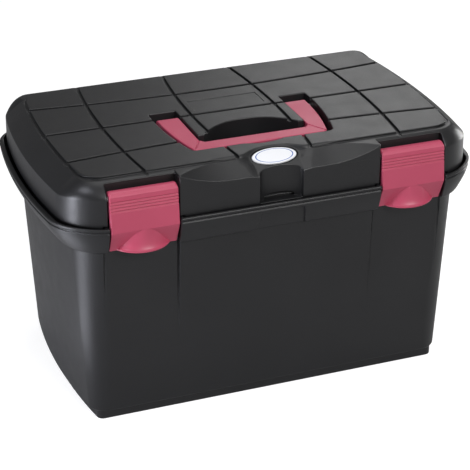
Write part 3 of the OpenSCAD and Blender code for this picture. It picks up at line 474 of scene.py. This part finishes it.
def handle_field(x, y, z):
    x = np.abs(x)
    side = np.hypot(x - (HANDLE_HW - LEG_SIDE_R), y - HANDLE_Y) - LEG_SIDE_R
    plan = both(side, HANDLE_FRONT - y, HANDLE_CORNER)
    thick = np.hypot(np.maximum(y - HANDLE_Y, 0), z - HANDLE_Z) - HANDLE_HT
    bail = both(plan, thick, HANDLE_EDGE)
    opening = both(x - LEG_INNER, GRIP_BACK - y, SOFT)
    bail = without(bail, opening, mix(GRIP_ROUND, SOFT, smooth(LEG_INNER - GRIP_BLEND, LEG_INNER, x)))
    mitre_x, mitre_y = MITRE_RUN / math.hypot(*MITRE_RUN)
    from_mitre = np.abs((x - LEG_INNER) * mitre_y + (y - GRIP_BACK) * mitre_x)
    crease = np.maximum.reduce([from_mitre - CREASE_HW, HANDLE_Z + HANDLE_HT - CREASE_D - z, y - GRIP_BACK])
    bail = without(bail, crease, HAIR)
    return without(bail, np.hypot(y - HANDLE_Y, z - HANDLE_Z) - BORE_R, CRISP)


def badge_field(x, y, z):
    over, up = badge_axes(y, z)
    edge = oval(x, up, BADGE_HL, BADGE_HH)
    drop = DOME_DROP_X * (x / BADGE_HL) ** 2, DOME_DROP_UP * (up / BADGE_HH) ** 2
    dome = over - BADGE_PROUD * (1 - drop[0] - drop[1])
    return both(both(edge, dome, SMALL), -BADGE_SEAT - over, HAIR)


# Tray

def tray_plan(x, y, z, inset):
    """Plan of the tray at a height, which follows the tub's wall."""
    share = (z - FOOT_H) / (WALL_H - FOOT_H)
    return outline(
        x, y, mix(BASE_HL, WALL_HL, share) - TUB_WALL - TRAY_GAP - inset,
        mix(BASE_HD, WALL_HD, share) - TUB_WALL - TRAY_SIDE_GAP - inset,
        mix(BASE_CORNER, WALL_CORNER, share) - TUB_WALL - inset, TUB_BOW,
    )


def tray_field(x, y, z):
    x = np.abs(x)
    body = both(both(tray_plan(x, y, z, TRAY_RIM), TRAY_LOW - z, TRAY_ROUND), z - TRAY_TOP, TRIM)
    rim = both(tray_plan(x, y, z, 0), np.maximum(TRAY_TOP - TRAY_WALL - z, z - TRAY_TOP), LUG)
    room = both(tray_plan(x, y, z, TRAY_RIM + TRAY_WALL), TRAY_LOW + TRAY_WALL - z, FULL)
    from_divider = np.abs(x - DIVIDER_X)
    inner_y = tray_plan(x * 0, y, z, TRAY_RIM + TRAY_WALL)
    guide = np.maximum.reduce([from_divider - GUIDE_TO, GUIDE_FROM - from_divider, -GUIDE_OUT - inner_y])
    room = without(room, both(guide, z - GUIDE_TOP, TRIM), TRIM)
    return without(either(body, rim, EDGE), room, LUG)


# From a field to a mesh

BLOCK = 8
CHUNK = 400_000
REACH = 1.5
SETTLE_ROUNDS, SETTLE_STEP, LEAST_SLOPE = 2, 0.04, 0.3
NORMAL_STEP, LARGE_EDGE, NORMAL_PULL = 0.12, 2.5, 0.5


def sample(field, low, high, pitch):
    """Grid of a field's values, worked out closely only in the blocks near the surface."""
    low = np.array([-pitch / 2, low[1], low[2]])
    blocks = np.ceil((np.array(high) - low) / (pitch * BLOCK)).astype(int)
    middles = [low[k] + pitch * ((np.arange(blocks[k]) + 0.5) * BLOCK - 0.5) for k in range(3)]
    rough = field(*[m.ravel() for m in np.meshgrid(*middles, indexing="ij")]).reshape(blocks)
    near = np.abs(rough) < REACH * math.sqrt(3) / 2 * BLOCK * pitch
    for axis in range(3):
        rough = rough.repeat(BLOCK, axis)
        near = near.repeat(BLOCK, axis)
    values = np.ascontiguousarray(rough, np.float32)
    flat = values.reshape(-1)
    wanted = np.flatnonzero(near)
    for part in np.array_split(wanted, max(1, len(wanted) // CHUNK)):
        at = np.stack(np.unravel_index(part, values.shape)).astype(np.float32)
        at = at * np.float32(pitch) + low.astype(np.float32)[:, None]
        flat[part] = field(*at)
    return values, low


def skin(values, low, pitch):
    """Four-sided faces over the zero surface of a grid, one corner in each cell that it crosses."""
    inside = values < 0
    size = np.array(values.shape) - 1
    count = np.zeros(size, np.uint8)
    for i, j, k in np.ndindex(2, 2, 2):
        count += inside[i:i + size[0], j:j + size[1], k:k + size[2]]
    cells = np.argwhere((count > 0) & (count < 8))
    index = np.full(size, -1, np.int32)
    index[tuple(cells.T)] = np.arange(len(cells))
    total = np.zeros((len(cells), 3))
    hits = np.zeros(len(cells))
    for axis in range(3):
        for i, j in np.ndindex(2, 2):
            corner = np.insert([i, j], axis, 0)
            step = np.eye(3, dtype=int)[axis]
            a = values[tuple((cells + corner).T)]
            b = values[tuple((cells + corner + step).T)]
            crossed = (a < 0) != (b < 0)
            share = a[crossed] / (a[crossed] - b[crossed])
            total[crossed] += cells[crossed] + corner + share[:, None] * step
            hits[crossed] += 1
    points = low + pitch * total / hits[:, None]
    points[cells[:, 0] == 0, 0] = 0.0
    faces = []
    for axis in range(3):
        one, two = np.eye(3, dtype=int)[[(axis + 1) % 3, (axis + 2) % 3]]
        start = one + two
        window = tuple(slice(first, last) for first, last in zip(start, size))
        here, ahead = inside[window], np.roll(inside, -1, axis)[window]
        at = np.argwhere(here != ahead) + start
        quad = np.stack([index[tuple((at - s).T)] for s in (0 * one, one, one + two, two)], 1)
        leaving = inside[tuple(at.T)]
        quad[~leaving] = quad[~leaving][:, ::-1]
        faces.append(quad)
    return points, np.concatenate(faces)


def gradient(field, points, step):
    """The field's slope along each axis."""
    slopes = []
    for axis in range(3):
        shift = np.zeros(3)
        shift[axis] = step
        slopes.append((field(*(points + shift).T) - field(*(points - shift).T)) / (2 * step))
    return np.stack(slopes, 1)


def unit(vectors):
    return vectors / np.maximum(np.linalg.norm(vectors, axis=1, keepdims=True), 1e-9)


def thinned(points, faces, triangles):
    """Mesh with about that many triangles, most of them where the surface turns."""
    mesh = bpy.data.meshes.new("raw")
    mesh.from_pydata(points.tolist(), [], faces.tolist())
    helper = bpy.data.objects.new("raw", mesh)
    bpy.context.scene.collection.objects.link(helper)
    decimate = helper.modifiers.new("thin", "DECIMATE")
    decimate.ratio = min(1.0, triangles / (2 * len(faces)))
    decimate.use_collapse_triangulate = True
    result = helper.evaluated_get(bpy.context.evaluated_depsgraph_get()).to_mesh()
    result.calc_loop_triangles()
    flat = np.zeros(3 * len(result.vertices), np.float32)
    result.vertices.foreach_get("co", flat)
    corners = np.zeros(3 * len(result.loop_triangles), np.int32)
    result.loop_triangles.foreach_get("vertices", corners)
    helper.to_mesh_clear()
    bpy.data.objects.remove(helper)
    bpy.data.meshes.remove(mesh)
    return flat.reshape(-1, 3).astype(float), corners.reshape(-1, 3)


def settled(field, points, pitch):
    """Points moved onto the field's surface. Those on the mirror plane stay on it."""
    middle = np.abs(points[:, 0]) < pitch * 0.05
    for _ in range(SETTLE_ROUNDS):
        slope = gradient(field, points, SETTLE_STEP)
        value = field(*points.T)
        step = value / np.maximum((slope * slope).sum(1), LEAST_SLOPE)
        points = points - np.clip(step, -pitch, pitch)[:, None] * slope
        points[middle, 0] = 0.0
    return points, middle


def corner_normals(field, points, triangles):
    """A normal for each corner, taken a little inside the large triangles that border a round."""
    normals = unit(gradient(field, points, NORMAL_STEP))[triangles]
    place = points[triangles]
    longest = np.max(np.linalg.norm(place - np.roll(place, 1, 1), axis=2), axis=1)
    large = longest > LARGE_EDGE
    middle = place[large].mean(1, keepdims=True)
    inward = middle - place[large]
    pull = np.minimum(1, NORMAL_PULL / np.maximum(np.linalg.norm(inward, axis=2), 1e-6))
    pulled = place[large] + inward * pull[..., None]
    normals[large] = unit(gradient(field, pulled.reshape(-1, 3), NORMAL_STEP)).reshape(-1, 3, 3)
    return normals


def moulded(name, field, low, high, pitch, triangles, shift=0.0):
    """Mesh object of a field that is the same on both sides of x = 0."""
    values, origin = sample(field, low, high, pitch)
    points, faces = skin(values, origin, pitch)
    points, half = thinned(points, faces, triangles // 2)
    points, middle = settled(field, points, pitch)
    normals = corner_normals(field, points, half)
    mirrored = np.where(middle, np.arange(len(points)), len(points) + np.cumsum(~middle) - 1)
    other_points = points[~middle] * (-1, 1, 1)
    other_half = mirrored[half][:, ::-1]
    other_normals = (normals * (-1, 1, 1))[:, ::-1]
    points = np.concatenate([points, other_points]) + (shift, 0, 0)
    mesh = bpy.data.meshes.new(name)
    mesh.from_pydata((points * MM).tolist(), [], np.concatenate([half, other_half]).tolist())
    mesh.polygons.foreach_set("use_smooth", np.ones(len(mesh.polygons), bool))
    mesh.normals_split_custom_set(np.concatenate([normals, other_normals]).reshape(-1, 3).tolist())
    piece = bpy.data.objects.new(name, mesh)
    bpy.context.scene.collection.objects.link(piece)
    return piece


# Materials

GRAIN_HEIGHT = 0.00025
PLASTIC_IOR = 1.49


class Nodes:
    """Short ways to add and link a material's nodes. Lengths in materials, stage and lamps are in metres."""

    def __init__(self, name):
        self.material = bpy.data.materials.new(name)
        self.material.use_nodes = True
        self.tree = self.material.node_tree
        self.shader = self.tree.nodes["Principled BSDF"]
        self.place = self.add("ShaderNodeTexCoord").outputs["Object"]

    def add(self, kind, **settings):
        node = self.tree.nodes.new(kind)
        for key, value in settings.items():
            setattr(node, key, value)
        return node

    def link(self, output, socket):
        self.tree.links.new(output, socket)

    def noise(self, scale, detail=2.0, roughness=0.5):
        node = self.add("ShaderNodeTexNoise")
        node.inputs["Scale"].default_value = scale
        node.inputs["Detail"].default_value = detail
        node.inputs["Roughness"].default_value = roughness
        self.link(self.place, node.inputs["Vector"])
        return node.outputs["Fac"]

    def ramp(self, value, low, high, start=0.3, end=0.7):
        """Colours or grey levels spread over a value."""
        node = self.add("ShaderNodeValToRGB")
        for element, at, colour in zip(node.color_ramp.elements, (start, end), (low, high)):
            element.position = at
            element.color = (*colour, 1) if isinstance(colour, tuple) else (colour, colour, colour, 1)
        self.link(value, node.inputs["Fac"])
        return node.outputs["Color"]

    def bump(self, height, strength, distance):
        node = self.add("ShaderNodeBump")
        node.inputs["Strength"].default_value = strength
        node.inputs["Distance"].default_value = distance
        self.link(height, node.inputs["Height"])
        return node.outputs["Normal"]

    def set(self, **values):
        for key, value in values.items():
            self.shader.inputs[key.replace("_", " ")].default_value = value


def plastic(name, dark, light, rough_low, rough_high, grain, grain_depth):
    """Moulded plastic: fine grain, a slow change of colour, and patches of other gloss."""
    nodes = Nodes(name)
    colour = nodes.ramp(nodes.noise(scale=14, detail=4), dark, light)
    nodes.link(colour, nodes.shader.inputs["Base Color"])
    gloss = nodes.ramp(nodes.noise(scale=60, detail=5), rough_low, rough_high)
    nodes.link(gloss, nodes.shader.inputs["Roughness"])
    grains = nodes.bump(nodes.noise(scale=grain, detail=3, roughness=0.6), grain_depth, GRAIN_HEIGHT)
    nodes.link(grains, nodes.shader.inputs["Normal"])
    nodes.set(IOR=PLASTIC_IOR)
    return nodes.material


def drawn_steel():
    """Wire with fine lines from drawing."""
    nodes = Nodes("drawn_steel")
    stretched = nodes.add("ShaderNodeMapping")
    stretched.inputs["Scale"].default_value = (8, 1, 1)
    nodes.link(nodes.place, stretched.inputs["Vector"])
    nodes.place = stretched.outputs["Vector"]
    colour = nodes.ramp(nodes.noise(scale=900, detail=3), (0.5, 0.51, 0.52), (0.66, 0.67, 0.68))
    nodes.link(colour, nodes.shader.inputs["Base Color"])
    gloss = nodes.ramp(nodes.noise(scale=500, detail=3), low=0.25, high=0.42)
    nodes.link(gloss, nodes.shader.inputs["Roughness"])
    nodes.set(Metallic=1.0)
    return nodes.material


def badge_white():
    """Glossy white with a fine blue ring set in from the edge."""
    nodes = Nodes("badge_white")
    shift = nodes.add("ShaderNodeMapping", vector_type="TEXTURE")
    shift.inputs["Location"].default_value = (0, BADGE_Y * MM, BADGE_Z * MM)
    shift.inputs["Rotation"].default_value = (BADGE_TILT, 0, 0)
    shift.inputs["Scale"].default_value = (BADGE_HL * MM, BADGE_HH * MM, 1)
    nodes.link(nodes.place, shift.inputs["Vector"])
    flat = nodes.add("ShaderNodeVectorMath", operation="MULTIPLY")
    flat.inputs[1].default_value = (1, 1, 0)
    nodes.link(shift.outputs["Vector"], flat.inputs[0])
    reach = nodes.add("ShaderNodeVectorMath", operation="LENGTH")
    nodes.link(flat.outputs["Vector"], reach.inputs[0])
    ring = nodes.add("ShaderNodeValToRGB")
    ring.color_ramp.interpolation = "EASE"
    white, blue = (0.82, 0.83, 0.85, 1), (0.05, 0.13, 0.42, 1)
    stops = [(0.0, white), (0.80, white), (0.815, blue), (0.85, blue), (0.865, white)]
    for element, (at, colour) in zip(ring.color_ramp.elements, (stops[0], stops[-1])):
        element.position, element.color = at, colour
    for at, colour in stops[1:-1]:
        ring.color_ramp.elements.new(at).color = colour
    nodes.link(reach.outputs["Value"], ring.inputs["Fac"])
    nodes.link(ring.outputs["Color"], nodes.shader.inputs["Base Color"])
    gloss = nodes.ramp(nodes.noise(scale=120, detail=3), low=0.16, high=0.26)
    nodes.link(gloss, nodes.shader.inputs["Roughness"])
    waves = nodes.bump(nodes.noise(scale=300, detail=2), strength=0.05, distance=0.0001)
    nodes.link(waves, nodes.shader.inputs["Normal"])
    return nodes.material


black = plastic(
    "black_plastic", dark=(0.0090, 0.0090, 0.0097), light=(0.0118, 0.0118, 0.0127),
    rough_low=0.36, rough_high=0.41, grain=900, grain_depth=0.4,
)
pink = plastic(
    "pink_plastic", dark=(0.44, 0.058, 0.110), light=(0.50, 0.069, 0.128),
    rough_low=0.38, rough_high=0.44, grain=1700, grain_depth=0.18,
)
grey = plastic(
    "grey_plastic", dark=(0.16, 0.165, 0.17), light=(0.20, 0.205, 0.21),
    rough_low=0.42, rough_high=0.52, grain=1500, grain_depth=0.3,
)
steel = drawn_steel()
white = badge_white()


# Pieces

BOX_MARGIN = 2.0


def finish_piece(piece, body, node, material):
    """Give a piece its material and its place in the part."""
    piece.data.materials.clear()
    piece.data.materials.append(material)
    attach(piece, body)
    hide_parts(node)


def around(node):
    """Corners of a node's box in millimetres, with a margin."""
    low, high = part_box(node)
    return [v / MM - BOX_MARGIN for v in low], [v / MM + BOX_MARGIN for v in high]


tub = moulded("tub_moulding", tub_field, *around("tub"), pitch=0.85, triangles=180_000)
finish_piece(tub, "tub", "tub", black)

lid = moulded("lid_moulding", lid_field, *around("lid"), pitch=0.65, triangles=240_000)
finish_piece(lid, "lid", "lid", black)

for side, name in ((-1, "latch_left"), (1, "latch_right")):
    low, high = around(name)
    high[0] = LATCH_HW + BOX_MARGIN
    latch = moulded(
        name + "_moulding", latch_field, low, high, pitch=0.28, triangles=80_000, shift=side * LATCH_X
    )
    finish_piece(latch, name, name, pink)

handle = moulded("handle_moulding", handle_field, *around("handle"), pitch=0.6, triangles=50_000)
finish_piece(handle, "handle", "handle", pink)

badge = moulded("badge_oval", badge_field, *around("badge"), pitch=0.4, triangles=16_000)
finish_piece(badge, "lid", "badge", white)

tray = moulded("tray_moulding", tray_field, *around("tray"), pitch=0.9, triangles=90_000)
finish_piece(tray, "tray", "tray", grey)

for name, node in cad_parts.items():
    if "pin" in name:
        node.data.materials.clear()
        node.data.materials.append(steel)
    if "divider" in name:
        node.data.materials.clear()
        node.data.materials.append(grey)
        bevel = node.modifiers.new("moulded_edge", "BEVEL")
        bevel.width = DIVIDER_EDGE * MM
        bevel.segments = 2


# Stage, light and camera

WHITE, COOL = (1, 1, 1), (0.88, 0.9, 1.0)
BACKGROUND_IN_GLOSS = 0.11
FLOOR_REACH, FLOOR_GREY, FLOOR_ROUGH, FLOOR_GLOW = 6.0, 0.4, 0.9, 0.8
WORLD_LIGHT, WORLD_SEEN = 0.09, 1.0


def sees_background(tree):
    """1 for rays from the camera, less off gloss or through glass, 0 for light that falls on the object."""
    light_path = tree.nodes.new("ShaderNodeLightPath")

    def calculate(operation, first, second):
        node = tree.nodes.new("ShaderNodeMath")
        node.operation = operation
        for socket, value in zip(node.inputs, (first, second)):
            if isinstance(value, float):
                socket.default_value = value
            else:
                tree.links.new(value, socket)
        return node.outputs["Value"]

    glossy, through = light_path.outputs["Is Glossy Ray"], light_path.outputs["Is Transmission Ray"]
    dimmed = calculate("MULTIPLY", calculate("MAXIMUM", glossy, through), BACKGROUND_IN_GLOSS)
    return calculate("MAXIMUM", light_path.outputs["Is Camera Ray"], dimmed)


def floor_and_backdrop():
    """Floor that shows as white and keeps the object's shadow."""
    mesh = bpy.data.meshes.new("floor")
    corners = [(x * FLOOR_REACH, y * FLOOR_REACH, 0) for x, y in ((-1, -1), (1, -1), (1, 1), (-1, 1))]
    mesh.from_pydata(corners, [], [(0, 1, 2, 3)])
    floor = bpy.data.objects.new("floor", mesh)
    bpy.context.scene.collection.objects.link(floor)
    nodes = Nodes("floor")
    nodes.set(Base_Color=(*[FLOOR_GREY] * 3, 1), Roughness=FLOOR_ROUGH, Emission_Color=(*WHITE, 1))
    glow = nodes.add("ShaderNodeMath", operation="MULTIPLY")
    glow.inputs[1].default_value = FLOOR_GLOW
    nodes.link(sees_background(nodes.tree), glow.inputs[0])
    nodes.link(glow.outputs["Value"], nodes.shader.inputs["Emission Strength"])
    mesh.materials.append(nodes.material)


def world_light():
    """White backdrop for the camera, which gives the object only a little light."""
    world = bpy.data.worlds.new("studio")
    bpy.context.scene.world = world
    world.use_nodes = True
    tree = world.node_tree
    background = tree.nodes["Background"]
    background.inputs["Color"].default_value = (*WHITE, 1)
    strength = tree.nodes.new("ShaderNodeMapRange")
    strength.inputs["To Min"].default_value = WORLD_LIGHT
    strength.inputs["To Max"].default_value = WORLD_SEEN
    tree.links.new(sees_background(tree), strength.inputs["Value"])
    tree.links.new(strength.outputs["Result"], background.inputs["Strength"])


def soft_box(name, place, aim, size, power, colour=WHITE):
    """Area lamp at a place, turned to what it aims at."""
    lamp = bpy.data.lights.new(name, "AREA")
    lamp.shape = "RECTANGLE"
    lamp.size, lamp.size_y = size
    lamp.energy = power
    lamp.color = colour
    holder = bpy.data.objects.new(name, lamp)
    bpy.context.scene.collection.objects.link(holder)
    holder.location = place
    holder.rotation_euler = (Vector(aim) - Vector(place)).to_track_quat("-Z", "Y").to_euler()


def photo_camera():
    """The photograph's own camera, worked out from the mirrored grooves of the lid."""
    place = Vector((-0.5061, -1.3367, 0.8145))
    forward = Vector((0.3186, 0.8380, -0.4431))
    lens = bpy.data.cameras.new("camera")
    lens.sensor_width = 36
    lens.lens = 132.24
    camera = bpy.data.objects.new("camera", lens)
    bpy.context.scene.collection.objects.link(camera)
    camera.location = place
    camera.rotation_euler = forward.to_track_quat("-Z", "Y").to_euler()
    bpy.context.scene.camera = camera


floor_and_backdrop()
world_light()
soft_box("overhead", (0.2, 0.2, 2.0), aim=(0, 0, 0.15), size=(1.2, 1.2), power=10)
soft_box("rear", (1.16, 1.95, 1.2), aim=(0.1, 0.1, 0.2), size=(0.8, 0.7), power=4.6)
soft_box(
    "left_strip", (-0.63, -0.16, 0.05), aim=(-0.17, -0.08, 0.13), size=(0.045, 0.4), power=3.2, colour=COOL
)
soft_box(
    "left_board", (-0.44, -0.05, 0.012), aim=(-0.42, -0.05, 0.4), size=(0.14, 0.36), power=0.38, colour=COOL
)
soft_box(
    "left_high", (-0.9, -0.4, 1.15), aim=(-0.15, -0.1, 0.2), size=(0.25, 0.25), power=5.5, colour=COOL
)
soft_box("right_strip", (0.85, 0.2, 0.2), aim=(0.15, 0, 0.18), size=(0.07, 0.4), power=2.5)
soft_box("front_fill", (0.6, -2.2, 1.5), aim=(0, 0, 0.1), size=(1.4, 1.0), power=46)
photo_camera()
bpy.context.scene.view_settings.view_transform = "Standard"
